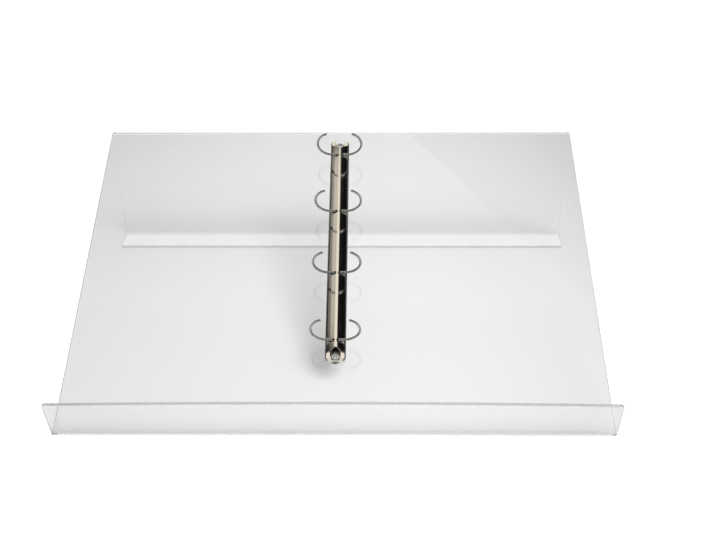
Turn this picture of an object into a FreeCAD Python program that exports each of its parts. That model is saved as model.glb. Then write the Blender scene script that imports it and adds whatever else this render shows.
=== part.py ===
import FreeCAD, Part
import math
import os

# A clear sheet stand for ring-bound documents. One sheet is bent into a front lip, a sloping
# board, a rear leg and a foot flange, and a four-ring binder mechanism is riveted down the
# middle of the board. Millimetres; +X to the reader's right, +Y to the back, +Z up. The
# origin is under the middle of the whole object, on the table. The rings stand open.

# Sheet
SHEET_WIDTH = 489.0
SHEET_THICKNESS = 3.0
SHEET_INNER_BEND = 1.2
BOARD_SLOPE_DEG = 20.0
BOARD_RUN = 378.7
LIP_HEIGHT = 51.0
LIP_CROWN = 3.0
LEG_LEAN_DEG = 4.1
FOOT_LENGTH = 33.5
SHEET_CORNER_RADIUS = 3.0
SHEET_EDGE_ROUNDING = 0.4

# Ring mechanism, in its own frame: x across, y up the board from the front fold, z off the board
RING_PITCH = 80.0
RING_COUNT = 4
FIRST_RING_STATION = 96.0
COVER_LENGTH = 283.0
COVER_WIDTH = 19.2
COVER_THICKNESS = 0.9
COVER_END_TO_RING = 20.2
COVER_CORNER_RADIUS = 5.0
COVER_CURL = 1.5
SHOULDER_HEIGHT = 4.0
FLANK_OUT = 5.0
FLANK_HEIGHT = 5.45
RIDGE_HEIGHT = 6.75
CURL_BEND = 0.9
SHOULDER_BEND = 2.5
FLANK_BEND = 14.0
RIDGE_BEND = 6.0

# The dent over each end pad: an arrow shape pressed into the arch, with a channel down to the pad
DENT_APEX = 12.6
DENT_SIDE = 6.2
DENT_WALL_LEAN = 1.8
EAR_HEIGHT = 4.6
CHANNEL_HALF_WIDTH = 4.5
CHANNEL_WALL_LEAN = 0.6
DENT_RIM_ROUNDING = 0.3

# The slots that the ring halves swing in
SLOT_WIDTH = 3.4
SLOT_INNER = 0.9
SLOT_OUTER = 6.9

# Ring halves and the two blades that carry them
RING_RADIUS = 15.2
WIRE_DIAMETER = 2.4
CLOSED_RING_HEIGHT = 20.7
TIP_GAP = 0.1
WIRE_BEND = 1.8
TAIL_OUT = 1.6
TENON_RADIUS = 0.75
TENON_CLEARANCE = 0.03
PIVOT_OUT = 7.75
PIVOT_HEIGHT = 1.5
BLADE_THICKNESS = 0.8
BLADE_REACH = 7.6
BLADE_CLOSED_DEG = -6.25
BLADE_OPEN_DEG = 14.75
BLADE_END_MARGIN = 4.0

# Rivets
RIVET_INSET = 4.3
RIVET_BORE = 1.5
RIVET_SHANK = 2.2
RIVET_FLANGE = 3.9
RIVET_FLANGE_HEIGHT = 1.4
RIVET_ROLL = 3.3
RIVET_ROLL_HEIGHT = 0.9
RIVET_CLEARANCE = 0.05
WASHER_RADIUS = 5.0
WASHER_THICKNESS = 0.8

# Worked out from the dimensions above
SLOPE = math.radians(BOARD_SLOPE_DEG)
HALF_SHEET = SHEET_THICKNESS / 2
SHEET_BEND = SHEET_INNER_BEND + HALF_SHEET
OUTER_BEND = SHEET_INNER_BEND + SHEET_THICKNESS
HALF_COVER = COVER_WIDTH / 2
WIRE_RADIUS = WIRE_DIAMETER / 2
SWING_DEG = BLADE_OPEN_DEG - BLADE_CLOSED_DEG
LAST_RING_STATION = FIRST_RING_STATION + RING_PITCH * (RING_COUNT - 1)
COVER_START = FIRST_RING_STATION - COVER_END_TO_RING
COVER_END = COVER_START + COVER_LENGTH
COVER_MIDDLE = (COVER_START + COVER_END) / 2

UP = FreeCAD.Vector(0, 0, 1)
ACROSS = FreeCAD.Vector(1, 0, 0)


def flat(x, y):
    """A point in a drawing plane."""
    return FreeCAD.Vector(x, y, 0)


def heading(degrees):
    """The unit direction at an angle in a drawing plane."""
    angle = math.radians(degrees)
    return flat(math.cos(angle), math.sin(angle))


def left_of(direction):
    """The direction a quarter turn to the left."""
    return flat(-direction.y, direction.x)


def corner_bend(before, corner, after, radius):
    """Where a round bend replaces a corner: its two tangent points, centre and turning sign."""
    arriving = (corner - before).normalize()
    leaving = (after - corner).normalize()
    turn = arriving.cross(leaving).z
    sign = 1 if turn > 0 else -1
    half_turn = arriving.getAngle(leaving) / 2
    setback = radius * math.tan(half_turn)
    start = corner - arriving * setback
    end = corner + leaving * setback
    centre = start + left_of(arriving) * (radius * sign)
    return start, end, centre, sign


def strip_side(points, radii, offset):
    """The edges of one side of a bent strip, offset to the left of its middle line."""
    edges = []
    position = points[0] + left_of((points[1] - points[0]).normalize()) * offset
    for before, corner, after, radius in zip(points, points[1:], points[2:], radii):
        start, end, centre, sign = corner_bend(before, corner, after, radius)
        arriving = left_of((corner - before).normalize())
        leaving = left_of((after - corner).normalize())
        first = start + arriving * offset
        last = end + leaving * offset
        middle = centre + (corner - centre).normalize() * (radius - sign * offset)
        edges.append(Part.LineSegment(position, first).toShape())
        edges.append(Part.Arc(first, middle, last).toShape())
        position = last
    final = points[-1] + left_of((points[-1] - points[-2]).normalize()) * offset
    edges.append(Part.LineSegment(position, final).toShape())
    return edges


def bent_strip(points, radii, thickness):
    """The face of a strip of even thickness that follows a path with round bends."""
    left = strip_side(points, radii, thickness / 2)
    right = strip_side(points, radii, -thickness / 2)
    first_cap = Part.LineSegment(left[0].Vertexes[0].Point, right[0].Vertexes[0].Point).toShape()
    last_cap = Part.LineSegment(left[-1].Vertexes[-1].Point, right[-1].Vertexes[-1].Point).toShape()
    edges = Part.__sortEdges__(left + right + [first_cap, last_cap])
    return Part.Face(Part.Wire(edges))


def moved(shape, placement):
    """A copy of a shape with a placement worked into its geometry."""
    return shape.transformed(placement.toMatrix(), True)


def side_view_prism(face, width):
    """A face drawn as (back, up), made into a prism centred on X = 0."""
    solid = face.extrude(UP * width)
    solid.translate(UP * (-width / 2))
    turn = FreeCAD.Rotation(FreeCAD.Vector(1, 1, 1), 120)
    return moved(solid, FreeCAD.Placement(FreeCAD.Vector(), turn))


def cross_section_prism(face, start, end):
    """A face drawn as (across, off the board), made into a prism along the mechanism."""
    solid = face.extrude(UP * (start - end))
    turn = FreeCAD.Rotation(ACROSS, 90)
    return moved(solid, FreeCAD.Placement(FreeCAD.Vector(0, start, 0), turn))


def sheet_path():
    """The sheet's middle line from the lip's free edge to the toe, as (back, up) points."""
    fold_height = OUTER_BEND - SHEET_BEND * (math.sin(SLOPE) + math.cos(SLOPE))
    fold = flat(0, fold_height)
    up_slope = heading(BOARD_SLOPE_DEG)
    lip_edge = fold + left_of(up_slope) * (LIP_HEIGHT - HALF_SHEET)
    top = fold + up_slope * BOARD_RUN
    drop = top.y - HALF_SHEET
    heel = flat(top.x + drop * math.tan(math.radians(LEG_LEAN_DEG)), HALF_SHEET)
    _, _, heel_centre, _ = corner_bend(top, heel, heel - ACROSS, SHEET_BEND)
    back = heel_centre.x + OUTER_BEND
    toe = flat(back - FOOT_LENGTH, HALF_SHEET)
    front = (lip_edge - up_slope * HALF_SHEET).x
    middle = ACROSS * ((front + back) / 2)
    return [point - middle for point in (lip_edge, fold, top, heel, toe)]


SHEET_PATH = sheet_path()


def board_placement():
    """Where the mechanism's own frame sits: on the board's upper face, in line with the fold."""
    fold = SHEET_PATH[1]
    surface = fold + left_of(heading(BOARD_SLOPE_DEG)) * HALF_SHEET
    base = FreeCAD.Vector(0, surface.x, surface.y)
    return FreeCAD.Placement(base, FreeCAD.Rotation(ACROSS, BOARD_SLOPE_DEG))


BOARD = board_placement()


def ring_stations():
    """Distances of the rings up the board from the fold."""
    return [FIRST_RING_STATION + RING_PITCH * index for index in range(RING_COUNT)]


def rivet_stations():
    """Distances of the two rivets up the board from the fold."""
    return {"lower": COVER_START + RIVET_INSET, "upper": COVER_END - RIVET_INSET}


def above_crowned_edge():
    """A cutter that leaves the lip's free edge as a shallow arch, lowest at both ends."""
    side = SHEET_WIDTH / 2
    reach = SHEET_WIDTH
    ends = [FreeCAD.Vector(-side, 0, -LIP_CROWN), FreeCAD.Vector(side, 0, -LIP_CROWN)]
    corners = [FreeCAD.Vector(side, 0, reach), FreeCAD.Vector(-side, 0, reach)]
    edges = [
        Part.Arc(ends[0], FreeCAD.Vector(), ends[1]).toShape(),
        Part.LineSegment(ends[1], corners[0]).toShape(),
        Part.LineSegment(corners[0], corners[1]).toShape(),
        Part.LineSegment(corners[1], ends[0]).toShape(),
    ]
    cutter = Part.Face(Part.Wire(edges)).extrude(FreeCAD.Vector(0, 4 * SHEET_THICKNESS, 0))
    cutter.translate(FreeCAD.Vector(0, -2 * SHEET_THICKNESS, 0))
    lip_edge = SHEET_PATH[0]
    base = FreeCAD.Vector(0, lip_edge.x, lip_edge.y)
    return moved(cutter, FreeCAD.Placement(base, FreeCAD.Rotation(ACROSS, BOARD_SLOPE_DEG)))


def free_corner_edges(sheet):
    """The four short edges at the corners of the lip's free edge and of the toe."""
    short = [edge for edge in sheet.Edges if abs(edge.Length - SHEET_THICKNESS) < 0.01]
    return [edge for edge in short if abs(edge.CenterOfMass.x) > SHEET_WIDTH / 2 - 0.01]


def rim_edges(sheet):
    """The edges along the sheet's two sides and two free ends, without the fold lines."""
    rim = []
    for edge in sheet.Edges:
        crosses_thickness = abs(edge.Length - SHEET_THICKNESS) < 0.02
        is_fold_line = edge.Length > SHEET_WIDTH - 1
        if not crosses_thickness and not is_fold_line:
            rim.append(edge)
    return rim


def acrylic_stand():
    """The bent clear sheet, with the two rivet holes in its board."""
    profile = bent_strip(SHEET_PATH, [SHEET_BEND] * 3, SHEET_THICKNESS)
    sheet = side_view_prism(profile, SHEET_WIDTH)
    sheet = sheet.cut(above_crowned_edge())
    sheet = sheet.makeFillet(SHEET_CORNER_RADIUS, free_corner_edges(sheet))
    sheet = sheet.makeFillet(SHEET_EDGE_ROUNDING, rim_edges(sheet))
    for station in rivet_stations().values():
        start = FreeCAD.Vector(0, station, -2 * SHEET_THICKNESS)
        hole = Part.makeCylinder(RIVET_SHANK + RIVET_CLEARANCE, 3 * SHEET_THICKNESS, start)
        sheet = sheet.cut(moved(hole, BOARD))
    return sheet


def cover_path():
    """The cover's middle line across the mechanism, from one curled edge to the other."""
    curl_height = COVER_THICKNESS / 2
    side = HALF_COVER - COVER_THICKNESS / 2
    half = [
        flat(side - COVER_CURL, curl_height),
        flat(side, curl_height),
        flat(side, SHOULDER_HEIGHT),
        flat(FLANK_OUT, FLANK_HEIGHT),
    ]
    mirrored = [flat(-point.x, point.y) for point in half]
    return mirrored + [flat(0, RIDGE_HEIGHT)] + half[::-1]


def cover_form(inset):
    """The solid that the cover's outside, or its inside at an inset, would fill."""
    radii = [CURL_BEND, SHOULDER_BEND, FLANK_BEND, RIDGE_BEND, FLANK_BEND, SHOULDER_BEND, CURL_BEND]
    edges = strip_side(cover_path(), radii, COVER_THICKNESS / 2 - inset)
    base = Part.LineSegment(edges[-1].Vertexes[-1].Point, edges[0].Vertexes[0].Point).toShape()
    arch = cross_section_prism(Part.Face(Part.Wire(edges + [base])), COVER_START, COVER_END)
    corner = FreeCAD.Vector(-HALF_COVER + inset, COVER_START + inset, 0)
    plan = Part.makeBox(COVER_WIDTH - 2 * inset, COVER_LENGTH - 2 * inset, 2 * RIDGE_HEIGHT, corner)
    uprights = [edge for edge in plan.Edges if edge.BoundBox.ZLength > RIDGE_HEIGHT]
    plan = plan.makeFillet(COVER_CORNER_RADIUS - inset, uprights)
    return arch.common(plan)


def leaning_loft(outline, floor):
    """A space with a level floor, open above, whose outline follows a function of height."""
    wires = []
    for height in (floor, 2 * RIDGE_HEIGHT):
        points = [FreeCAD.Vector(x, COVER_START + y, height) for x, y in outline(height)]
        wires.append(Part.makePolygon(points + points[:1]))
    return Part.makeLoft(wires, True, True)


def dent(wall, half_width, floor):
    """The space over the lower pad within a half width: an arrow whose point lies on the ridge."""
    slant = (DENT_APEX - DENT_SIDE) / HALF_COVER
    shift = wall * math.hypot(slant, 1)

    def outline(height):
        """The arrow at a height: its walls lean out, away from the pad."""
        above_floor = height / RIDGE_HEIGHT - 1
        point = DENT_APEX + shift + DENT_WALL_LEAN * above_floor
        side = half_width + wall + CHANNEL_WALL_LEAN * height / RIDGE_HEIGHT
        shoulder = point - slant * side
        front = -HALF_COVER
        return [(0, point), (side, shoulder), (side, front), (-side, front), (-side, shoulder)]

    return leaning_loft(outline, floor)


def pad_space(wall):
    """All that is pressed down over the lower pad, or the same grown by a wall's thickness."""
    channel = dent(wall, CHANNEL_HALF_WIDTH, COVER_THICKNESS - wall)
    step = dent(wall, HALF_COVER, EAR_HEIGHT - wall)
    return channel.fuse(step).removeSplitter()


def at_both_ends(shape):
    """A shape at the cover's lower end and its mirror image at the upper end."""
    return [shape, shape.mirror(FreeCAD.Vector(0, COVER_MIDDLE, 0), FreeCAD.Vector(0, 1, 0))]


def ring_slots():
    """The openings in the cover that the ring halves swing in, one on each side of the ridge."""
    slots = []
    half_width = SLOT_WIDTH / 2
    for station in ring_stations():
        for side in (-1, 1):
            inner = min(side * SLOT_INNER, side * (SLOT_OUTER - half_width))
            length = SLOT_OUTER - SLOT_INNER - half_width
            corner = FreeCAD.Vector(inner, station - half_width, SHOULDER_HEIGHT / 2)
            slot = Part.makeBox(length, SLOT_WIDTH, RIDGE_HEIGHT, corner)
            centre = FreeCAD.Vector(side * (SLOT_OUTER - half_width), station, SHOULDER_HEIGHT / 2)
            slots.append(slot.fuse(Part.makeCylinder(half_width, RIDGE_HEIGHT, centre)))
    return slots


def dent_rim_edges(form):
    """The edges where the arch turns down into the dents at its ends."""
    reach = DENT_APEX + 2 * DENT_RIM_ROUNDING
    edges = []
    for edge in form.Edges:
        box = edge.BoundBox
        at_end = box.YMax < COVER_START + reach or box.YMin > COVER_END - reach
        above_ears = box.ZMin > EAR_HEIGHT - 0.05 and box.ZMax > EAR_HEIGHT + 0.1
        slanted = box.XLength > 0.5 and box.YLength > 0.5
        if at_end and above_ears and slanted:
            edges.append(edge)
    return edges


def ring_cover():
    """The arched cover: a sprung steel strip with its ends pressed down for the rivets."""
    outside = cover_form(0).cut(at_both_ends(pad_space(0))).removeSplitter()
    outside = outside.makeFillet(DENT_RIM_ROUNDING, dent_rim_edges(outside))
    inside = cover_form(COVER_THICKNESS).cut(at_both_ends(pad_space(COVER_THICKNESS)))
    cover = outside.cut(inside)
    opening = 2 * (HALF_COVER - COVER_THICKNESS / 2 - COVER_CURL)
    first = COVER_START + DENT_APEX
    length = COVER_LENGTH - 2 * DENT_APEX
    under = Part.makeBox(opening, length, COVER_THICKNESS, FreeCAD.Vector(-opening / 2, first, 0))
    cover = cover.cut([under] + ring_slots())
    for station in rivet_stations().values():
        corner = FreeCAD.Vector(0, station, -1)
        hole = Part.makeCylinder(RIVET_SHANK + RIVET_CLEARANCE, 2 * RIDGE_HEIGHT, corner)
        cover = cover.cut(hole)
    return cover


def closing_turn(side, degrees):
    """A turn about a blade's hinge line that swings its rings towards closed by an angle."""
    pivot = FreeCAD.Vector(side * PIVOT_OUT, 0, PIVOT_HEIGHT)
    turn = FreeCAD.Rotation(FreeCAD.Vector(0, 1, 0), -side * degrees)
    return FreeCAD.Placement(FreeCAD.Vector(), turn, pivot)


def mirrored_to(side, shape):
    """A shape drawn for the left side, or its mirror image for the right side."""
    if side < 0:
        return shape
    return shape.mirror(FreeCAD.Vector(), ACROSS)


def tail_foot():
    """Where the left ring's tail meets its blade when closed, and the tail's direction."""
    tail = heading(90 + BLADE_CLOSED_DEG)
    _, bend_end = wire_bend()
    pivot = flat(-PIVOT_OUT, PIVOT_HEIGHT)
    above_blade = (bend_end - pivot).dot(tail) - BLADE_THICKNESS / 2
    return bend_end - tail * above_blade, tail


def wire_bend():
    """The centre and the lower end of the small bend between the left ring's arc and its tail."""
    tail = heading(90 + BLADE_CLOSED_DEG)
    outward = left_of(tail) * -1
    across = TAIL_OUT + WIRE_BEND * outward.x
    reach = RING_RADIUS + WIRE_BEND
    centre = flat(-across, CLOSED_RING_HEIGHT - math.sqrt(reach**2 - across**2))
    return centre, centre + outward * WIRE_BEND


def hinge_blade(side):
    """One hinge blade: a long flat plate, round along its hinge edge, holed for the rings."""
    first = FIRST_RING_STATION - BLADE_END_MARGIN
    last = LAST_RING_STATION + BLADE_END_MARGIN
    half = BLADE_THICKNESS / 2
    width = BLADE_REACH - half
    length = last - first
    plate = Part.makeBox(width, length, BLADE_THICKNESS, FreeCAD.Vector(0, first, -half))
    for edge in (0, width):
        rounding = Part.makeCylinder(half, length, FreeCAD.Vector(edge, first, 0), FreeCAD.Vector(0, 1, 0))
        plate = plate.fuse(rounding)
    plate = plate.removeSplitter()
    foot, tail = tail_foot()
    pivot = flat(-PIVOT_OUT, PIVOT_HEIGHT)
    seat = abs((foot - pivot).cross(tail).z)
    for station in ring_stations():
        hole = Part.makeCylinder(TENON_RADIUS + TENON_CLEARANCE, 2, FreeCAD.Vector(seat, station, -1))
        plate = plate.cut(hole)
    open_turn = FreeCAD.Rotation(FreeCAD.Vector(0, 1, 0), -BLADE_OPEN_DEG)
    plate = moved(plate, FreeCAD.Placement(FreeCAD.Vector(-PIVOT_OUT, 0, PIVOT_HEIGHT), open_turn))
    return mirrored_to(side, plate)


def upright(point, station):
    """A point drawn as (across, off the board), at a distance up the board."""
    return FreeCAD.Vector(point.x, station, point.y)


def ring_half(side, station):
    """One half ring: a round wire arc, a tight bend, a straight tail and a riveted tenon."""
    along = FreeCAD.Vector(0, 1, 0)
    centre = flat(0, CLOSED_RING_HEIGHT)
    tip_angle = 90 + math.degrees(math.asin(TIP_GAP / RING_RADIUS))
    bend_centre, bend_end = wire_bend()
    joint_direction = (bend_centre - centre).normalize()
    joint_angle = 360 + math.degrees(math.atan2(joint_direction.y, joint_direction.x))
    foot, tail = tail_foot()

    tip = centre + heading(tip_angle) * RING_RADIUS
    tip_circle = Part.Circle(upright(tip, station), upright(left_of(heading(tip_angle)), 0), WIRE_RADIUS)
    tip_face = Part.Face(Part.Wire(tip_circle.toShape()))
    arc = tip_face.revolve(upright(centre, station), -along, joint_angle - tip_angle)

    joint = centre + joint_direction * RING_RADIUS
    joint_circle = Part.Circle(upright(joint, station), upright(left_of(joint_direction), 0), WIRE_RADIUS)
    joint_face = Part.Face(Part.Wire(joint_circle.toShape()))
    bend_angle = math.degrees(joint_direction.getAngle(left_of(tail)))
    bend = joint_face.revolve(upright(bend_centre, station), along, bend_angle)

    shank = Part.makeCylinder(WIRE_RADIUS, (bend_end - foot).Length, upright(foot, station), upright(tail, 0))
    tenon_foot = foot - tail * BLADE_THICKNESS
    tenon = Part.makeCylinder(TENON_RADIUS, BLADE_THICKNESS, upright(tenon_foot, station), upright(tail, 0))
    wire = arc.fuse([bend, shank, tenon]).removeSplitter()
    wire = moved(wire, closing_turn(-1, -SWING_DEG))
    return mirrored_to(side, wire)


def rivet(station):
    """A hollow rivet: a domed flange over the pad, and a rolled end under the washer."""
    underside = -SHEET_THICKNESS - WASHER_THICKNESS
    pad = COVER_THICKNESS
    crown = pad + RIVET_FLANGE_HEIGHT
    mouth = (RIVET_BORE + RIVET_FLANGE) / 2
    rolled = underside - RIVET_ROLL_HEIGHT
    roll_middle = (RIVET_BORE + RIVET_ROLL) / 2
    outline = [
        Part.Arc(
            FreeCAD.Vector(RIVET_BORE, 0, pad),
            FreeCAD.Vector(RIVET_BORE + 0.35, 0, crown - 0.2),
            FreeCAD.Vector(mouth, 0, crown),
        ),
        Part.Arc(
            FreeCAD.Vector(mouth, 0, crown),
            FreeCAD.Vector(RIVET_FLANGE - 0.35, 0, crown - 0.3),
            FreeCAD.Vector(RIVET_FLANGE, 0, pad),
        ),
        Part.LineSegment(FreeCAD.Vector(RIVET_FLANGE, 0, pad), FreeCAD.Vector(RIVET_SHANK, 0, pad)),
        Part.LineSegment(FreeCAD.Vector(RIVET_SHANK, 0, pad), FreeCAD.Vector(RIVET_SHANK, 0, underside)),
        Part.LineSegment(FreeCAD.Vector(RIVET_SHANK, 0, underside), FreeCAD.Vector(RIVET_ROLL, 0, underside)),
        Part.Arc(
            FreeCAD.Vector(RIVET_ROLL, 0, underside),
            FreeCAD.Vector(roll_middle, 0, rolled),
            FreeCAD.Vector(RIVET_BORE, 0, underside),
        ),
        Part.LineSegment(FreeCAD.Vector(RIVET_BORE, 0, underside), FreeCAD.Vector(RIVET_BORE, 0, pad)),
    ]
    face = Part.Face(Part.Wire([curve.toShape() for curve in outline]))
    solid = face.revolve(FreeCAD.Vector(), UP, 360)
    solid.translate(FreeCAD.Vector(0, station, 0))
    return solid


def rivet_washer(station):
    """A flat washer between the board's underside and a rivet's rolled end."""
    corner = FreeCAD.Vector(0, station, -SHEET_THICKNESS - WASHER_THICKNESS)
    disc = Part.makeCylinder(WASHER_RADIUS, WASHER_THICKNESS, corner)
    return disc.cut(Part.makeCylinder(RIVET_SHANK + RIVET_CLEARANCE, WASHER_THICKNESS, corner))


def mechanism_parts():
    """Every piece of the ring mechanism and its fastenings, in the mechanism's own frame."""
    parts = {"ring_cover": ring_cover()}
    for side, name in ((-1, "left"), (1, "right")):
        parts[f"hinge_blade_{name}"] = hinge_blade(side)
        for number, station in enumerate(ring_stations(), 1):
            parts[f"ring_half_{name}_{number}"] = ring_half(side, station)
    for name, station in rivet_stations().items():
        parts[f"rivet_{name}"] = rivet(station)
        parts[f"rivet_washer_{name}"] = rivet_washer(station)
    return parts


def main():
    """Build every piece and write one STEP file for each."""
    os.makedirs("parts", exist_ok=True)
    parts = {"acrylic_stand": acrylic_stand()}
    for name, shape in mechanism_parts().items():
        parts[name] = moved(shape, BOARD)
    for name, shape in parts.items():
        shape.exportStep(f"parts/{name}.step")
        print(name, shape.isValid(), len(shape.Solids), round(shape.Volume, 1))


if __name__ == "__main__":
    main()
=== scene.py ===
"""Looks of a clear ring-binder stand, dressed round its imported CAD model.

One bent acrylic sheet carries a nickel-plated four-ring mechanism on two hollow rivets. Every
length is in metres and in the CAD frame: +X to the reader's right, +Y to the back, +Z up.
"""

import logging
import math
from dataclasses import dataclass
from enum import Enum

import bpy
from mathutils import Matrix, Vector

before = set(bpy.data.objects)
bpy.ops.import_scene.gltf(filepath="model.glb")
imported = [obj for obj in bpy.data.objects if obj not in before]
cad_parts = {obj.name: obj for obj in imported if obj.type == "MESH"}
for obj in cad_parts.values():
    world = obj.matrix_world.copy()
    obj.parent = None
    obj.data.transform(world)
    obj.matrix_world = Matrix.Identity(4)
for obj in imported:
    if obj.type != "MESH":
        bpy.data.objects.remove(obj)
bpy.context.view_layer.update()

LOG = logging.getLogger("binder_stand")

Colour = tuple[float, float, float]

BOARD_SLOPE = math.radians(20.0)
ACRYLIC_IOR = 1.49
WHITE: Colour = (1.0, 1.0, 1.0)
BLACK: Colour = (0.0, 0.0, 0.0)

# The Mix node's colour sockets
FIRST_COLOUR = 6
SECOND_COLOUR = 7
MIXED_COLOUR = 2


class Finish(Enum):
    """The material slots of the stand, as its record names them."""

    ACRYLIC = "clear_acrylic"
    COVER = "nickel_cover"
    WIRE = "nickel_wire"
    BLADE = "blade_steel"
    RIVET = "rivet_nickel"


class Grain(Enum):
    """How a drawn or rolled metal's grain lies in the mechanism's own frame."""

    ALONG = (1.0, 0.02, 1.0)
    NONE = (1.0, 1.0, 1.0)


class Fade(Enum):
    """Along which axis a card's glow changes."""

    NONE = ""
    ACROSS = "X"
    AWAY = "Y"


def rgba(colour: Colour) -> tuple[float, float, float, float]:
    """Give a colour an alpha of one.

    Args:
        colour: Red, green and blue.

    Returns:
        The same colour with a fourth number, 1.
    """
    return (*colour, 1.0)


@dataclass
class NodeCanvas:
    """Adds and wires nodes in one node tree.

    Args:
        tree: The node tree that is worked on.
    """

    tree: bpy.types.NodeTree

    def add(self, kind: str, **settings: object) -> bpy.types.Node:
        """Add one node.

        Args:
            kind: The node's Blender type name.
            settings: Values for the node's own properties.

        Returns:
            The new node.
        """
        node = self.tree.nodes.new(kind)
        for name, value in settings.items():
            setattr(node, name, value)
        return node

    def feed(self, socket: bpy.types.NodeSocket, value: object) -> None:
        """Give a socket a link or a plain value.

        Args:
            socket: The input to fill.
            value: An output socket, a number or a colour.
        """
        if isinstance(value, bpy.types.NodeSocket):
            self.tree.links.new(value, socket)
        else:
            socket.default_value = value

    def math(self, operation: str, *values: object, clamp: bool = False) -> bpy.types.NodeSocket:
        """Add a Math node.

        Args:
            operation: The Math node's operation.
            values: Its inputs, each an output socket or a number.
            clamp: Whether the result is held between 0 and 1.

        Returns:
            The result's socket.
        """
        node = self.add("ShaderNodeMath", operation=operation, use_clamp=clamp)
        for socket, value in zip(node.inputs, values):
            self.feed(socket, value)
        return node.outputs[0]

    def remap(
        self, value: object, low: object, high: object, to_low: object, to_high: object
    ) -> bpy.types.NodeSocket:
        """Add a Map Range node that clamps.

        Args:
            value: The value to map.
            low: The value that becomes to_low.
            high: The value that becomes to_high.
            to_low: The lower result.
            to_high: The upper result.

        Returns:
            The result's socket.
        """
        node = self.add("ShaderNodeMapRange")
        for name, given in (
            ("Value", value),
            ("From Min", low),
            ("From Max", high),
            ("To Min", to_low),
            ("To Max", to_high),
        ):
            self.feed(node.inputs[name], given)
        return node.outputs["Result"]

    def blend(self, factor: object, first: object, second: object) -> bpy.types.NodeSocket:
        """Mix two colours.

        Args:
            factor: How much of the second colour shows.
            first: The first colour or its socket.
            second: The second colour or its socket.

        Returns:
            The mixed colour's socket.
        """
        node = self.add("ShaderNodeMix", data_type="RGBA")
        self.feed(node.inputs["Factor"], factor)
        self.feed(node.inputs[FIRST_COLOUR], first)
        self.feed(node.inputs[SECOND_COLOUR], second)
        return node.outputs[MIXED_COLOUR]

    def noise(
        self, vector: object, scale: object, detail: float, roughness: float = 0.5
    ) -> bpy.types.NodeSocket:
        """Add a noise texture.

        Args:
            vector: Where the texture is read.
            scale: How fine it is.
            detail: How many octaves it has.
            roughness: How strong the finer octaves are.

        Returns:
            The noise value's socket.
        """
        node = self.add("ShaderNodeTexNoise")
        self.feed(node.inputs["Vector"], vector)
        self.feed(node.inputs["Scale"], scale)
        node.inputs["Detail"].default_value = detail
        node.inputs["Roughness"].default_value = roughness
        return node.outputs["Fac"]


@dataclass(frozen=True)
class GroupSocket:
    """One named input or output of a shader node group."""

    name: str
    kind: str = "NodeSocketFloat"
    value: float | None = None


@dataclass
class EffectGroup:
    """A shader node group with named inputs and outputs, built once.

    Args:
        name: The group's name.
        inputs: Its inputs.
        outputs: Its outputs.
    """

    name: str
    inputs: tuple[GroupSocket, ...]
    outputs: tuple[GroupSocket, ...]

    def __post_init__(self) -> None:
        """Make the group's tree with its sockets."""
        self.tree = bpy.data.node_groups.new(self.name, "ShaderNodeTree")
        for sockets, direction in ((self.inputs, "INPUT"), (self.outputs, "OUTPUT")):
            for item in sockets:
                made = self.tree.interface.new_socket(
                    name=item.name, in_out=direction, socket_type=item.kind
                )
                if item.value is not None:
                    made.default_value = item.value
        self.canvas = NodeCanvas(self.tree)
        self.given = self.canvas.add("NodeGroupInput").outputs
        self.result = self.canvas.add("NodeGroupOutput").inputs

    def place(self, canvas: NodeCanvas, **values: object) -> bpy.types.Node:
        """Put the group into a material.

        Args:
            canvas: The material's canvas.
            values: Inputs by name, with _ for a space.

        Returns:
            The group's node.
        """
        node = canvas.add("ShaderNodeGroup", node_tree=self.tree)
        for name, value in values.items():
            canvas.feed(node.inputs[name.replace("_", " ").title()], value)
        return node


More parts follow.
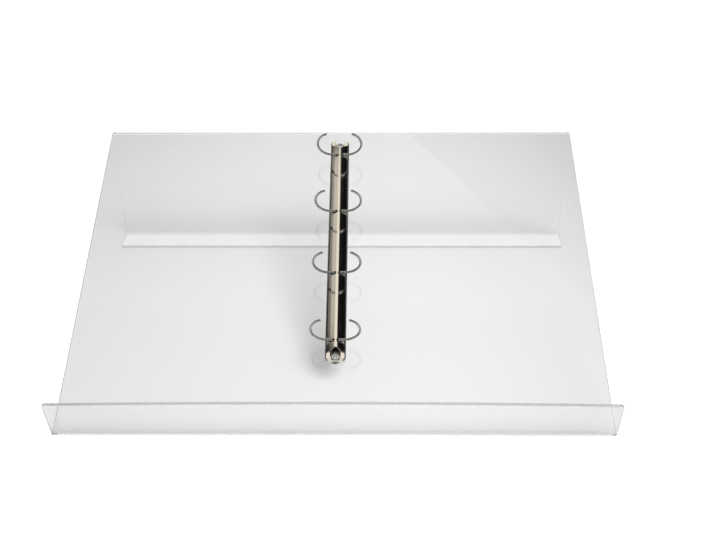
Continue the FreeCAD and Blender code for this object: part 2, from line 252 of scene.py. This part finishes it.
class SurfaceEffects:
    """The effects that several finishes share: handling marks, scratches, grain and edge wear."""

    def __init__(self) -> None:
        """Build each group once."""
        self.handling = self._handling_marks()
        self.scratches = self._fine_scratches()
        self.grain = self._metal_grain()
        self.edge_wear = self._edge_wear()

    @staticmethod
    def _handling_marks() -> EffectGroup:
        """Build the faint smears that hands leave.

        Returns:
            A group that puts out a smear mask.
        """
        group = EffectGroup(
            "handling_marks",
            (GroupSocket("Position", "NodeSocketVector"), GroupSocket("Scale", value=18.0)),
            (GroupSocket("Smear"),),
        )
        canvas, given = group.canvas, group.given
        broad = canvas.noise(given["Position"], given["Scale"], 3.0, 0.55)
        fine_scale = canvas.math("MULTIPLY", given["Scale"], 9.0)
        fine = canvas.noise(given["Position"], fine_scale, 4.0, 0.6)
        patches = canvas.remap(broad, 0.48, 0.72, 0.0, 1.0)
        canvas.feed(group.result["Smear"], canvas.math("MULTIPLY", patches, fine, clamp=True))
        return group

    @staticmethod
    def _fine_scratches() -> EffectGroup:
        """Build hairline scratches that run in two directions.

        Returns:
            A group that puts out a scratch mask and a height.
        """
        group = EffectGroup(
            "fine_scratches",
            (
                GroupSocket("Position", "NodeSocketVector"),
                GroupSocket("Scale", value=60.0),
                GroupSocket("Amount", value=0.5),
            ),
            (GroupSocket("Mask"), GroupSocket("Height")),
        )
        canvas, given = group.canvas, group.given
        lines = []
        for turn, stretch in ((0.5, 0.03), (-1.1, 0.05)):
            mapping = canvas.add("ShaderNodeMapping")
            canvas.feed(mapping.inputs["Vector"], given["Position"])
            mapping.inputs["Rotation"].default_value = (0.3, 0.2, turn)
            mapping.inputs["Scale"].default_value = (1.0, stretch, 1.0)
            streak = canvas.noise(
                mapping.outputs["Vector"], canvas.math("MULTIPLY", given["Scale"], 12.0), 2.0
            )
            distance = canvas.math("ABSOLUTE", canvas.math("SUBTRACT", streak, 0.5))
            lines.append(canvas.remap(distance, 0.0, 0.006, 1.0, 0.0))
        both = canvas.math("MAXIMUM", *lines)
        broad = canvas.noise(given["Position"], given["Scale"], 2.0)
        patch = canvas.remap(broad, 0.5, 0.62, 0.0, 1.0)
        mask = canvas.math("MULTIPLY", canvas.math("MULTIPLY", both, patch), given["Amount"])
        canvas.feed(group.result["Mask"], mask)
        canvas.feed(group.result["Height"], canvas.math("MULTIPLY", mask, -1.0))
        return group

    @staticmethod
    def _metal_grain() -> EffectGroup:
        """Build the fine lines that rolling or drawing leaves in strip and wire.

        Returns:
            A group that puts out a grain value.
        """
        group = EffectGroup(
            "metal_grain",
            (GroupSocket("Position", "NodeSocketVector"), GroupSocket("Scale", value=900.0)),
            (GroupSocket("Grain"),),
        )
        canvas, given = group.canvas, group.given
        fine = canvas.noise(given["Position"], given["Scale"], 3.0, 0.7)
        coarse_scale = canvas.math("MULTIPLY", given["Scale"], 0.2)
        coarse = canvas.noise(given["Position"], coarse_scale, 2.0)
        fine_share = canvas.math("MULTIPLY", fine, 0.6)
        coarse_share = canvas.math("MULTIPLY", coarse, 0.4)
        canvas.feed(group.result["Grain"], canvas.math("ADD", fine_share, coarse_share))
        return group

    @staticmethod
    def _edge_wear() -> EffectGroup:
        """Build a mask along sharp edges, broken up by noise.

        Returns:
            A group that puts out a wear mask and the rounded edges' normal.
        """
        group = EffectGroup(
            "edge_wear",
            (
                GroupSocket("Position", "NodeSocketVector"),
                GroupSocket("Radius", value=0.0003),
                GroupSocket("Amount", value=0.5),
            ),
            (GroupSocket("Mask"), GroupSocket("Normal", "NodeSocketVector")),
        )
        canvas, given = group.canvas, group.given
        bevel = canvas.add("ShaderNodeBevel", samples=6)
        canvas.feed(bevel.inputs["Radius"], given["Radius"])
        flat = canvas.add("ShaderNodeNewGeometry").outputs["Normal"]
        dot = canvas.add("ShaderNodeVectorMath", operation="DOT_PRODUCT")
        canvas.feed(dot.inputs[0], bevel.outputs["Normal"])
        canvas.feed(dot.inputs[1], flat)
        edge = canvas.remap(dot.outputs["Value"], 0.8, 0.97, 1.0, 0.0)
        breakup = canvas.remap(canvas.noise(given["Position"], 1400.0, 3.0), 0.35, 0.6, 0.0, 1.0)
        mask = canvas.math("MULTIPLY", canvas.math("MULTIPLY", edge, breakup), given["Amount"])
        canvas.feed(group.result["Mask"], mask)
        canvas.feed(group.result["Normal"], bevel.outputs["Normal"])
        return group


@dataclass(frozen=True)
class ClearAcrylic:
    """Clear cast acrylic with polished faces and edges.

    Args:
        slot: The material slot that it fills.
        tint: The colour of the glass for the eye.
        roughness: How rough the clean face is.
        smear_roughness: How rough a smeared face is.
        scratch_depth: How deep the hairlines look.
        scratch_strength: How strongly they bend the light.
        mirrored_head_on: The share of lamplight that a face turns away when it is met head on.
        grazing_power: How late that share rises towards a grazing angle.
        lamp_tint: What a face lets through of the lamplight that it doesn't turn away.
        longest_path: After how many surfaces the glass becomes a clear pane.
    """

    slot: Finish = Finish.ACRYLIC
    tint: Colour = (0.982, 0.986, 0.986)
    roughness: float = 0.004
    smear_roughness: float = 0.02
    scratch_depth: float = 0.00002
    scratch_strength: float = 0.05
    mirrored_head_on: float = 0.03
    grazing_power: float = 5.0
    lamp_tint: Colour = (0.994, 0.996, 0.996)
    longest_path: int = 4

    def build(self, effects: SurfaceEffects) -> bpy.types.Material:
        """Make the material: glass for the eye, a clear pane for lamplight and its bounces.

        Args:
            effects: The shared effect groups.

        Returns:
            The material.
        """
        material = bpy.data.materials.new(self.slot.value)
        material.use_nodes = True
        material.node_tree.nodes.clear()
        canvas = NodeCanvas(material.node_tree)
        place = canvas.add("ShaderNodeTexCoord").outputs["Object"]
        marks = effects.handling.place(canvas, position=place, scale=14.0)
        hairlines = effects.scratches.place(canvas, position=place, scale=22.0, amount=0.5)
        glass = canvas.add("ShaderNodeBsdfPrincipled")
        glass.inputs["Base Color"].default_value = rgba(self.tint)
        glass.inputs["Metallic"].default_value = 0.0
        glass.inputs["Transmission Weight"].default_value = 1.0
        glass.inputs["IOR"].default_value = ACRYLIC_IOR
        rough = canvas.remap(marks.outputs["Smear"], 0.0, 1.0, self.roughness, self.smear_roughness)
        canvas.feed(glass.inputs["Roughness"], rough)
        bump = canvas.add("ShaderNodeBump")
        bump.inputs["Strength"].default_value = self.scratch_strength
        bump.inputs["Distance"].default_value = self.scratch_depth
        canvas.feed(bump.inputs["Height"], hairlines.outputs["Height"])
        canvas.feed(glass.inputs["Normal"], bump.outputs["Normal"])

        facing = canvas.add("ShaderNodeLayerWeight").outputs["Facing"]
        grazing = canvas.math("POWER", facing, self.grazing_power)
        mirrored = canvas.math(
            "MULTIPLY_ADD", grazing, 1 - self.mirrored_head_on, self.mirrored_head_on
        )
        pane = canvas.add("ShaderNodeBsdfTransparent")
        let_through = canvas.blend(mirrored, rgba(self.lamp_tint), rgba(BLACK))
        canvas.feed(pane.inputs["Color"], let_through)
        path = canvas.add("ShaderNodeLightPath").outputs
        by_lamp = canvas.math("MAXIMUM", path["Is Shadow Ray"], path["Is Diffuse Ray"])
        trapped = canvas.math("GREATER_THAN", path["Ray Depth"], float(self.longest_path))
        by_lamp = canvas.math("MAXIMUM", by_lamp, trapped)
        mix = canvas.add("ShaderNodeMixShader")
        canvas.feed(mix.inputs[0], by_lamp)
        canvas.feed(mix.inputs[1], glass.outputs[0])
        canvas.feed(mix.inputs[2], pane.outputs[0])
        output = canvas.add("ShaderNodeOutputMaterial")
        canvas.feed(output.inputs["Surface"], mix.outputs[0])
        return material


@dataclass(frozen=True)
class PlatedMetal:
    """Bright or satin plated metal, with grain, smears, hairlines, worn edges and, where asked,
    painted shade on its sides.

    Args:
        slot: The material slot that it fills.
        colour: The plating's colour.
        worn_colour: The colour of worn edges.
        roughness: How rough the clean metal is.
        smear_roughness: How rough smeared metal is.
        grain_depth: How deep the grain looks.
        grain: How the grain lies.
        grain_scale: How fine the grain is.
        grain_tone: How much of the colour is left in the grain's lines.
        grain_strength: How strongly the grain bends the light.
        hairline_roughness: What a hairline adds to the roughness.
        edge_radius: How round the worn edges look.
        edge_wear: How worn they are.
        painted_side_shade: How much of the colour is left on faces that look to the left or right.
            This is
            painted shade: it darkens a cover's sides in place of their dark reflection. At 1 the
            metal is plated evenly.
        painted_side_shade_from: How far a face looks aside where that painted shade starts and is
            complete.
    """

    slot: Finish
    colour: Colour
    worn_colour: Colour
    roughness: float
    smear_roughness: float
    grain_depth: float
    grain: Grain = Grain.ALONG
    grain_scale: float = 900.0
    grain_tone: float = 0.8
    grain_strength: float = 0.3
    hairline_roughness: float = 0.08
    edge_radius: float = 0.00025
    edge_wear: float = 0.4
    painted_side_shade: float = 1.0
    painted_side_shade_from: tuple[float, float] = (0.42, 0.62)

    def build(self, effects: SurfaceEffects) -> bpy.types.Material:
        """Make the material.

        Args:
            effects: The shared effect groups.

        Returns:
            The material.
        """
        material = bpy.data.materials.new(self.slot.value)
        material.use_nodes = True
        material.node_tree.nodes.clear()
        canvas = NodeCanvas(material.node_tree)
        place = canvas.add("ShaderNodeTexCoord").outputs["Object"]
        turned = canvas.add("ShaderNodeMapping", vector_type="POINT")
        canvas.feed(turned.inputs["Vector"], place)
        turned.inputs["Rotation"].default_value = (-BOARD_SLOPE, 0.0, 0.0)
        drawn = canvas.add("ShaderNodeMapping", vector_type="POINT")
        canvas.feed(drawn.inputs["Vector"], turned.outputs["Vector"])
        drawn.inputs["Scale"].default_value = self.grain.value
        along = drawn.outputs["Vector"]
        grain = effects.grain.place(canvas, position=along, scale=self.grain_scale)
        marks = effects.handling.place(canvas, position=place, scale=45.0)
        hairlines = effects.scratches.place(canvas, position=place, scale=120.0, amount=0.6)
        wear = effects.edge_wear.place(
            canvas, position=place, radius=self.edge_radius, amount=self.edge_wear
        )

        metal = canvas.add("ShaderNodeBsdfPrincipled")
        metal.inputs["Metallic"].default_value = 1.0
        shade = canvas.blend(
            canvas.remap(grain.outputs["Grain"], 0.35, 0.65, 0.0, 0.12),
            rgba(self.colour),
            self._dimmed(self.grain_tone),
        )
        shade = canvas.blend(wear.outputs["Mask"], shade, rgba(self.worn_colour))
        # Painted shade: the sides are darkened in the base colour in place of their dark
        # reflection.
        if self.painted_side_shade < 1:
            shade = canvas.blend(self._painted_side_shade_mask(canvas), shade, self._dimmed(self.painted_side_shade))
        canvas.feed(metal.inputs["Base Color"], shade)
        smeared = canvas.remap(
            marks.outputs["Smear"], 0.0, 0.8, self.roughness, self.smear_roughness
        )
        rough = canvas.math(
            "MULTIPLY_ADD", hairlines.outputs["Mask"], self.hairline_roughness, smeared
        )
        canvas.feed(metal.inputs["Roughness"], rough)
        height = canvas.math(
            "MULTIPLY_ADD", hairlines.outputs["Height"], 0.5, grain.outputs["Grain"]
        )
        bump = canvas.add("ShaderNodeBump")
        bump.inputs["Strength"].default_value = self.grain_strength
        bump.inputs["Distance"].default_value = self.grain_depth
        canvas.feed(bump.inputs["Height"], height)
        canvas.feed(bump.inputs["Normal"], wear.outputs["Normal"])
        canvas.feed(metal.inputs["Normal"], bump.outputs["Normal"])
        output = canvas.add("ShaderNodeOutputMaterial")
        canvas.feed(output.inputs["Surface"], metal.outputs[0])
        return material

    def _dimmed(self, share: float) -> tuple[float, float, float, float]:
        """Darken the plating's colour.

        Args:
            share: How much of the colour is left.

        Returns:
            The darker colour, with an alpha of one.
        """
        return rgba(tuple(share * part for part in self.colour))

    def _painted_side_shade_mask(self, canvas: NodeCanvas) -> bpy.types.NodeSocket:
        """Mask the faces that look to the left or right, which this finish darkens with painted
        shade.

        Args:
            canvas: The material's nodes.

        Returns:
            The mask.
        """
        facing = canvas.add("ShaderNodeSeparateXYZ")
        canvas.feed(facing.inputs[0], canvas.add("ShaderNodeNewGeometry").outputs["Normal"])
        aside = canvas.math("ABSOLUTE", facing.outputs["X"])
        return canvas.remap(aside, *self.painted_side_shade_from, 0.0, 1.0)


@dataclass
class Wardrobe:
    """Every finish of the stand, made into a material once."""

    effects: SurfaceEffects

    def __post_init__(self) -> None:
        """Build the finishes."""
        finishes = (
            ClearAcrylic(),
            PlatedMetal(
                slot=Finish.COVER,
                colour=(0.72, 0.695, 0.65),
                worn_colour=(0.8, 0.79, 0.77),
                roughness=0.08,
                smear_roughness=0.13,
                grain_depth=0.0000015,
                # Painted shade on the cover's sides, in place of the dark reflection that they
                # show.
                painted_side_shade=0.2,
            ),
            PlatedMetal(
                slot=Finish.WIRE,
                colour=(0.47, 0.459, 0.44),
                worn_colour=(0.58, 0.57, 0.555),
                roughness=0.08,
                smear_roughness=0.15,
                grain_depth=0.000003,
                grain=Grain.NONE,
                edge_radius=0.0002,
            ),
            PlatedMetal(
                slot=Finish.BLADE,
                colour=(0.55, 0.545, 0.53),
                worn_colour=(0.68, 0.67, 0.66),
                roughness=0.28,
                smear_roughness=0.4,
                grain_depth=0.00001,
            ),
            PlatedMetal(
                slot=Finish.RIVET,
                colour=(0.8, 0.79, 0.78),
                worn_colour=(0.86, 0.86, 0.85),
                roughness=0.08,
                smear_roughness=0.15,
                grain_depth=0.000003,
                grain=Grain.NONE,
                edge_radius=0.0002,
            ),
        )
        self.materials = {finish.slot: finish.build(self.effects) for finish in finishes}

    def dress(self, node: str, slot: Finish) -> None:
        """Give a CAD node its material.

        Args:
            node: The node's name.
            slot: The finish that it takes.
        """
        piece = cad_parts[node]
        piece.data.materials.clear()
        piece.data.materials.append(self.materials[slot])
        LOG.info("%s: %s", node, slot.value)


@dataclass
class BentSheet:
    """The clear sheet: lip, board, rear leg and foot flange in one piece.

    Args:
        wardrobe: The finishes.
    """

    wardrobe: Wardrobe
    node: str = "acrylic_stand"

    def build(self) -> None:
        """Dress the sheet."""
        self.wardrobe.dress(self.node, Finish.ACRYLIC)


@dataclass
class RingMechanism:
    """The cover, its two hinge blades and the eight ring halves.

    Args:
        wardrobe: The finishes.
        rings: How many rings stand in the row.
    """

    wardrobe: Wardrobe
    rings: int = 4

    def build(self) -> None:
        """Dress every piece of the mechanism."""
        self.wardrobe.dress("ring_cover", Finish.COVER)
        for side in ("left", "right"):
            self.wardrobe.dress(f"hinge_blade_{side}", Finish.BLADE)
            for number in range(1, self.rings + 1):
                self.wardrobe.dress(f"ring_half_{side}_{number}", Finish.WIRE)


@dataclass
class Fastenings:
    """The two hollow rivets and their washers.

    Args:
        wardrobe: The finishes.
    """

    wardrobe: Wardrobe

    def build(self) -> None:
        """Dress the rivets and washers."""
        for end in ("lower", "upper"):
            self.wardrobe.dress(f"rivet_{end}", Finish.RIVET)
            self.wardrobe.dress(f"rivet_washer_{end}", Finish.RIVET)


@dataclass(frozen=True)
class ReflectedCard:
    """A card that only shows in mirrors, like the panels and flags round a studio table.

    Args:
        name: The card's name.
        corners: Its corners.
        colour: Its colour.
        strength: Its glow at the fade's start and end.
        fade: The axis that the glow changes along.
        fade_over: From where to where it changes.
        seen_through: Its glow where it is seen through the acrylic.
    """

    name: str
    corners: tuple[tuple[float, float, float], ...]
    colour: Colour
    strength: tuple[float, float]
    fade: Fade = Fade.NONE
    fade_over: tuple[float, float] = (0.0, 1.0)
    seen_through: float = 1.0

    def build(self) -> None:
        """Make the card. Its glow runs from the first strength to the second over the fade."""
        mesh = bpy.data.meshes.new(self.name)
        outline = range(len(self.corners))
        mesh.from_pydata([Vector(corner) for corner in self.corners], [], [outline])
        card = bpy.data.objects.new(self.name, mesh)
        bpy.context.scene.collection.objects.link(card)
        material = bpy.data.materials.new(self.name)
        material.use_nodes = True
        material.node_tree.nodes.clear()
        canvas = NodeCanvas(material.node_tree)
        glow = canvas.add("ShaderNodeEmission")
        glow.inputs["Color"].default_value = rgba(self.colour)
        strength = self.strength[0]
        if self.fade is not Fade.NONE:
            place = canvas.add("ShaderNodeSeparateXYZ")
            canvas.feed(place.inputs[0], canvas.add("ShaderNodeTexCoord").outputs["Object"])
            along = place.outputs[self.fade.value]
            strength = canvas.remap(along, *self.fade_over, *self.strength)
        canvas.feed(glow.inputs["Strength"], strength)
        white = canvas.add("ShaderNodeEmission")
        white.inputs["Strength"].default_value = self.seen_through
        mix = canvas.add("ShaderNodeMixShader")
        path = canvas.add("ShaderNodeLightPath").outputs
        canvas.feed(mix.inputs[0], path["Is Transmission Ray"])
        canvas.feed(mix.inputs[1], glow.outputs[0])
        canvas.feed(mix.inputs[2], white.outputs[0])
        output = canvas.add("ShaderNodeOutputMaterial")
        canvas.feed(output.inputs["Surface"], mix.outputs[0])
        mesh.materials.append(material)
        card.visible_camera = False
        card.visible_diffuse = False
        card.visible_shadow = False


@dataclass
class Studio:
    """The white table, whose grey carries a painted pool of lamplight, the soft lamps and the dim
    room round them.

    Args:
        half_floor: Half the floor's side.
        floor_drop: How far the floor lies below the stand's feet, so that no faces coincide.
        table_near: The floor's own grey at the stand, where the painted lamplight is brightest.
        table_far: The floor's grey behind the stand, darker there as painted lamp falloff.
        table_fade: From where to where, towards the back, that painted falloff runs.
        front_painted_light: How much paler the floor is painted towards the reader, as painted
            lamplight.
        front_fade: From where to where it turns paler.
        left_painted_falloff: How much darker the floor is painted far to the left, as painted lamp
            falloff.
        left_fade: From where to where it darkens to the left.
        right_painted_falloff: How much darker the floor is painted far to the right, as painted
            lamp falloff.
        right_fade: From where to where it darkens to the right.
        table_lift: What the camera sees on top of the lamps' light on the floor.
        sun_from: The direction to the key lamp.
        sun_strength: The key lamp's strength.
        sun_angle: The key lamp's apparent size in radians.
        room_glow: The even light from all round.
        panel_height: How high the overhead panels hang.
        panel_colour: The overhead panels' colour.
        roof_height: How high the ceiling and the dark roof lie.
        flag_side: How far to each side the dark flags stand.
        flag_back: How far back the dark roof reaches.
        flag_reach: How far behind the roof's end the side flags still stand.
        flag_front: Where the flag in front stands, and how far the ceiling reaches.
        flag_strength: What little light the dark flags give back.
        ceiling_edge: Where the pale ceiling over the reader ends.
        ceiling_strength: How bright that ceiling and the walls below it are.
        wall_place: Where the white wall at the back stands.
        wall_half_width: Half its width.
        wall_foot: How high its dimmer foot reaches.
        wall_top: How high the wall is.
        wall_strength: How bright it is.
        foot_strength: How bright its foot is.
        shown_above: The glow above which an upright card also shows through the acrylic as itself.
    """

    half_floor: float = 7.0
    floor_drop: float = 0.0003
    table_near: float = 0.91
    table_far: float = 0.72
    table_fade: tuple[float, float] = (0.05, 0.55)
    front_painted_light: float = 1.06
    front_fade: tuple[float, float] = (0.0, -0.2)
    left_painted_falloff: float = 0.2
    left_fade: tuple[float, float] = (0.1, -0.3)
    right_painted_falloff: float = 0.22
    right_fade: tuple[float, float] = (0.06, 0.3)
    table_lift: float = 0.5
    sun_from: tuple[float, float, float] = (0.32, -0.56, 0.76)
    sun_strength: float = 2.65
    sun_angle: float = math.radians(38.0)
    room_glow: float = 0.41
    panel_height: float = 2.0
    panel_colour: Colour = (1.0, 0.94, 0.83)
    roof_height: float = 2.1
    flag_side: float = 5.0
    flag_back: float = 2.7
    flag_reach: float = 3.0
    flag_front: float = -3.0
    flag_strength: float = 0.006
    ceiling_edge: float = 0.1
    ceiling_strength: float = 0.35
    wall_place: float = 3.6
    wall_half_width: float = 2.4
    wall_foot: float = 1.4
    wall_top: float = 3.0
    wall_strength: float = 1.8
    foot_strength: float = 0.6
    shown_above: float = 0.1

    def build(self) -> None:
        """Build the floor, the lamps, the world and the cards."""
        self._floor()
        self._sun()
        self._world()
        self._cards()

    def _floor(self) -> None:
        """Make the table top, with its painted lamp falloff."""
        side = self.half_floor
        corners = [(-side, -side), (side, -side), (side, side), (-side, side)]
        mesh = bpy.data.meshes.new("table_top")
        mesh.from_pydata([Vector((x, y, -self.floor_drop)) for x, y in corners], [], [range(4)])
        table = bpy.data.objects.new("table_top", mesh)
        bpy.context.scene.collection.objects.link(table)
        material = bpy.data.materials.new("white_table")
        material.use_nodes = True
        shader = material.node_tree.nodes["Principled BSDF"]
        canvas = NodeCanvas(material.node_tree)
        place = canvas.add("ShaderNodeSeparateXYZ")
        canvas.feed(place.inputs[0], canvas.add("ShaderNodeTexCoord").outputs["Object"])
        # Painted lamp falloff: the floor's grey darkens towards the back, left and right and pales
        # towards the reader. The camera's lift below turns it white where it is seen directly.
        tone = canvas.remap(place.outputs["Y"], *self.table_fade, self.table_near, self.table_far)
        front = canvas.remap(place.outputs["Y"], *self.front_fade, 1.0, self.front_painted_light)
        tone = canvas.math("MULTIPLY", tone, front)
        for loss, fade in ((self.left_painted_falloff, self.left_fade), (self.right_painted_falloff, self.right_fade)):
            aside = canvas.remap(place.outputs["X"], *fade, 0.0, 1.0)
            kept = canvas.math("MULTIPLY_ADD", canvas.math("MULTIPLY", aside, aside), -loss, 1.0)
            tone = canvas.math("MULTIPLY", tone, kept)
        colour = canvas.blend(tone, rgba(BLACK), rgba(WHITE))
        canvas.feed(shader.inputs["Base Color"], colour)
        shader.inputs["Roughness"].default_value = 1.0
        shader.inputs["Specular IOR Level"].default_value = 0.0
        shader.inputs["Emission Color"].default_value = rgba(WHITE)
        seen = canvas.add("ShaderNodeLightPath").outputs["Is Camera Ray"]
        lift = canvas.math("MULTIPLY", seen, self.table_lift)
        canvas.feed(shader.inputs["Emission Strength"], lift)
        mesh.materials.append(material)

    def _sun(self) -> None:
        """Make the key lamp: large, soft, in front on the right."""
        lamp = bpy.data.lights.new("key_lamp", "SUN")
        lamp.energy = self.sun_strength
        lamp.angle = self.sun_angle
        key = bpy.data.objects.new("key_lamp", lamp)
        bpy.context.scene.collection.objects.link(key)
        key.rotation_euler = Vector(self.sun_from).to_track_quat("Z", "Y").to_euler()
        key.visible_glossy = False

    def _world(self) -> None:
        """Make the room: even soft light on the stand, and a white background to look at."""
        world = bpy.data.worlds.new("studio_room")
        world.use_nodes = True
        world.node_tree.nodes.clear()
        canvas = NodeCanvas(world.node_tree)
        path = canvas.add("ShaderNodeLightPath").outputs
        glow = rgba((self.room_glow,) * 3)
        looked_at = canvas.math("MAXIMUM", path["Is Camera Ray"], path["Is Glossy Ray"])
        looked_at = canvas.math("MAXIMUM", looked_at, path["Is Transmission Ray"])
        colour = canvas.blend(looked_at, glow, rgba(WHITE))
        background = canvas.add("ShaderNodeBackground")
        canvas.feed(background.inputs["Color"], colour)
        output = canvas.add("ShaderNodeOutputWorld")
        canvas.feed(output.inputs["Surface"], background.outputs[0])
        bpy.context.scene.world = world

    def _cards(self) -> None:
        """Make the panels and flags that the plated metal and the acrylic mirror."""
        for card in (*self._panels(), *self._roof(), *self._walls()):
            card.build()

    def _panels(self) -> tuple[ReflectedCard, ...]:
        """Describe the warm panels overhead, which light the board and the cover's left flank.

        Returns:
            The panels over the stand, to its left and to its right.
        """
        over = (
            (-0.77, 1.16), (0.09, 1.16), (0.66, 0.58),
            (0.74, 0.5), (0.74, 0.26), (-0.77, 0.26),
        )
        left = (
            (-0.77, 0.59), (-0.77, 1.2), (-0.85, 1.235),
            (-1.33, 1.48), (-1.52, 0.87), (-0.96, 0.65),
        )
        right = ((0.09, 1.16), (0.67, 1.16), (0.66, 0.58))
        top, warm = self.panel_height, self.panel_colour
        return (
            self._level("over_panel", over, top, warm, (0.85, 1.15), Fade.ACROSS, (-0.77, 0.0)),
            self._level("left_panel", left, top, warm, (0.08, 0.85), Fade.ACROSS, (-1.48, -0.77)),
            self._level("right_panel", right, top, warm, (0.8, 0.25), Fade.AWAY, (0.75, 1.1)),
        )

    def _roof(self) -> tuple[ReflectedCard, ...]:
        """Describe what lies overhead above the panels.

        Returns:
            The pale ceiling over the reader and the dark roof behind it.
        """
        side, back, front = self.flag_side, self.flag_back, self.flag_front
        edge, high = self.ceiling_edge, self.roof_height
        ceiling = ((-side, front), (side, front), (side, edge), (-side, edge))
        roof = ((-side, edge), (side, edge), (side, back), (-side, back))
        pale, dark = (self.ceiling_strength,) * 2, (self.flag_strength,) * 2
        return (
            self._level("ceiling", ceiling, high, WHITE, pale),
            self._level("roof_flag", roof, high, WHITE, dark),
        )

    def _walls(self) -> tuple[ReflectedCard, ...]:
        """Describe what stands round the table.

        Returns:
            The pale sides by the reader, the dark flags and the white wall at the back.
        """
        side, front, edge = self.flag_side, self.flag_front, self.ceiling_edge
        far = self.flag_back + self.flag_reach
        pale, dark, high = self.ceiling_strength, self.flag_strength, self.roof_height
        wall_left = (-self.wall_half_width, self.wall_place)
        wall_right = (self.wall_half_width, self.wall_place)
        foot, top = self.wall_foot, self.wall_top
        return (
            self._upright("left_side", (-side, front), (-side, edge), 0.0, high, pale),
            self._upright("left_flag", (-side, edge), (-side, far), 0.0, high, dark),
            self._upright("right_side", (side, front), (side, edge), 0.0, high, pale),
            self._upright("right_flag", (side, edge), (side, far), 0.0, high, dark),
            self._upright("front_flag", (-side, front), (side, front), 0.0, high, dark),
            self._upright("back_wall", wall_left, wall_right, foot, top, self.wall_strength),
            self._upright("back_foot", wall_left, wall_right, 0.0, foot, self.foot_strength),
        )

    @staticmethod
    def _level(
        name: str,
        outline: tuple[tuple[float, float], ...],
        height: float,
        colour: Colour,
        strength: tuple[float, float],
        fade: Fade = Fade.NONE,
        fade_over: tuple[float, float] = (0.0, 1.0),
    ) -> ReflectedCard:
        """Describe a card that lies level overhead.

        Args:
            name: The card's name.
            outline: Its corners, seen from above.
            height: How high it hangs.
            colour: Its colour.
            strength: Its glow at the fade's start and end.
            fade: The axis that the glow changes along.
            fade_over: From where to where it changes.

        Returns:
            The card.
        """
        corners = tuple((x, y, height) for x, y in outline)
        return ReflectedCard(name, corners, colour, strength, fade, fade_over)

    def _upright(
        self,
        name: str,
        start: tuple[float, float],
        end: tuple[float, float],
        low: float,
        high: float,
        strength: float,
    ) -> ReflectedCard:
        """Describe a neutral card that stands upright on a line on the table.

        Args:
            name: The card's name.
            start: Where its foot begins.
            end: Where its foot ends.
            low: Its lower edge's height.
            high: Its upper edge's height.
            strength: Its glow.

        Returns:
            The card.
        """
        corners = ((*start, low), (*end, low), (*end, high), (*start, high))
        through = strength if strength > self.shown_above else 1.0
        return ReflectedCard(name, corners, WHITE, (strength, strength), seen_through=through)


@dataclass
class Viewpoint:
    """The camera that looks down on the stand from the reader's side.

    Args:
        position: Where it stands.
        down: How far it looks down, in degrees.
        yaw: How far it is turned, in degrees.
        roll: How far it is tilted, in degrees.
        focal_length: The lens in millimetres.
        sensor_width: The sensor's width in millimetres.
        clip_end: How far it sees.
    """

    position: tuple[float, float, float] = (0.0309, -0.99155, 0.6404)
    down: float = 30.13
    yaw: float = 0.55
    roll: float = -0.04
    focal_length: float = 59.62
    sensor_width: float = 36.0
    clip_end: float = 50.0

    def build(self) -> None:
        """Place the camera and make it the scene's own."""
        lens = bpy.data.cameras.new("reader_view")
        lens.sensor_width = self.sensor_width
        lens.lens = self.focal_length
        lens.clip_end = self.clip_end
        camera = bpy.data.objects.new("reader_view", lens)
        bpy.context.scene.collection.objects.link(camera)
        camera.matrix_world = Matrix.Translation(self.position) @ self._turn().to_4x4()
        bpy.context.scene.camera = camera

    def _turn(self) -> Matrix:
        """Work out the camera's axes.

        Returns:
            A matrix whose columns are right, up and backwards.
        """
        pitch, yaw, roll = (math.radians(angle) for angle in (self.down, self.yaw, self.roll))
        right = Vector((1, 0, 0))
        up = Vector((0, math.sin(pitch), math.cos(pitch)))
        ahead = Vector((0, math.cos(pitch), -math.sin(pitch)))
        turned_right = right * math.cos(yaw) + ahead * math.sin(yaw)
        turned_ahead = ahead * math.cos(yaw) - right * math.sin(yaw)
        tilted_right = turned_right * math.cos(roll) - up * math.sin(roll)
        tilted_up = turned_right * math.sin(roll) + up * math.cos(roll)
        return Matrix((tilted_right, tilted_up, -turned_ahead)).transposed()


def settle_view() -> None:
    """Show colours as they are written."""
    bpy.context.scene.view_settings.view_transform = "Standard"


def main() -> None:
    """Build the studio, dress the stand and report each piece."""
    logging.basicConfig(level=logging.INFO, format="%(message)s")
    wardrobe = Wardrobe(SurfaceEffects())
    Viewpoint().build()
    Studio().build()
    BentSheet(wardrobe).build()
    RingMechanism(wardrobe).build()
    Fastenings(wardrobe).build()
    settle_view()


if __name__ == "__main__":
    main()
